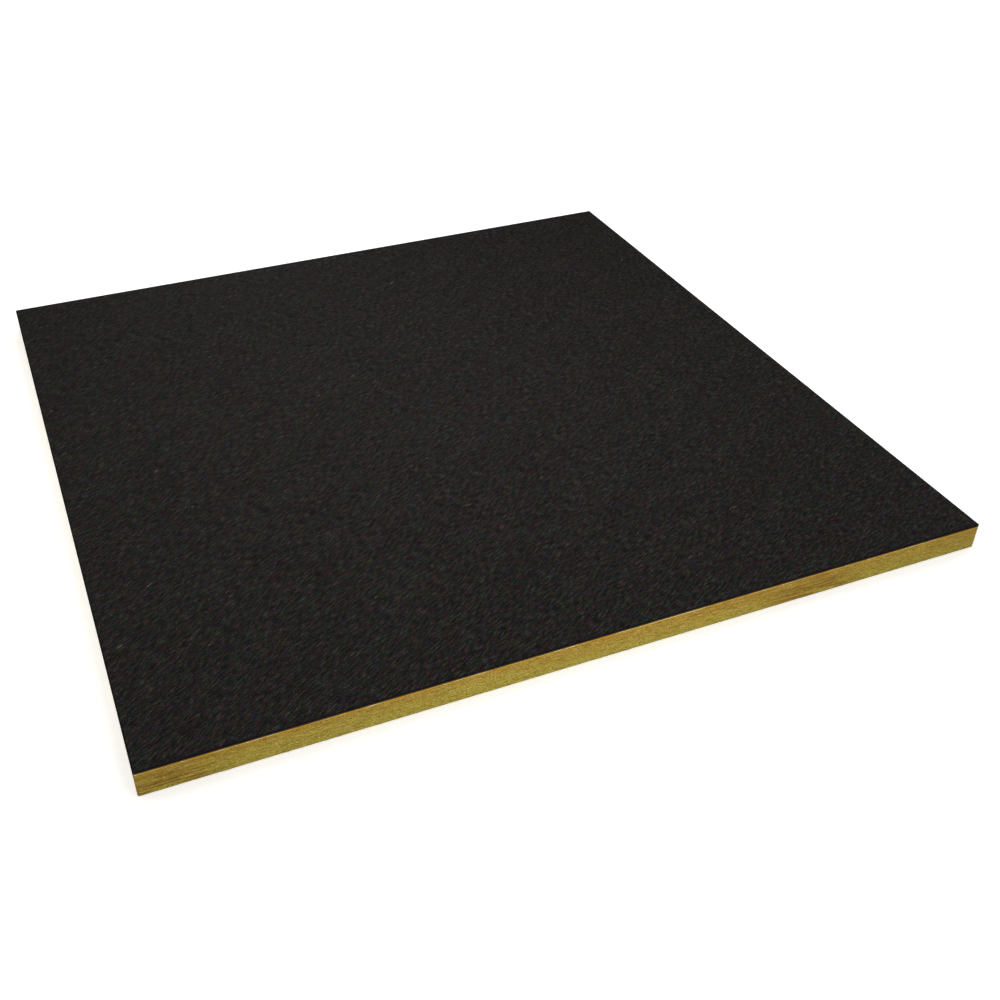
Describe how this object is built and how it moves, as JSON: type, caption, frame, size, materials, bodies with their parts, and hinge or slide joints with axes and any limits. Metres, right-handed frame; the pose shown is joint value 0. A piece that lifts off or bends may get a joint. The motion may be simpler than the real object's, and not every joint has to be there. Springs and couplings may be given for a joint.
{
  "type": "acoustic ceiling tile",
  "caption": "Square lay-in acoustic ceiling tile: a flat yellow-olive glass wool board with a black non-woven glass tissue bonded to its face and bare square-cut sides.",
  "frame": {"origin": "middle of the back face, which the tile lies on", "axes": "+Z out of the black tissue face; +X and +Y along the two pairs of sides"},
  "size_m": [0.595, 0.595, 0.02],
  "materials": {
    "glass_wool": "resin-bonded glass wool, sawn, matt, yellow to olive with lengthwise layers",
    "black_tissue": "non-woven glass tissue, matt black, fine slanting fibre grain"
  },
  "bodies": {
    "root": {"glass_wool_core": "glass_wool", "tissue_facing": "black_tissue"}
  },
  "joints": []
}
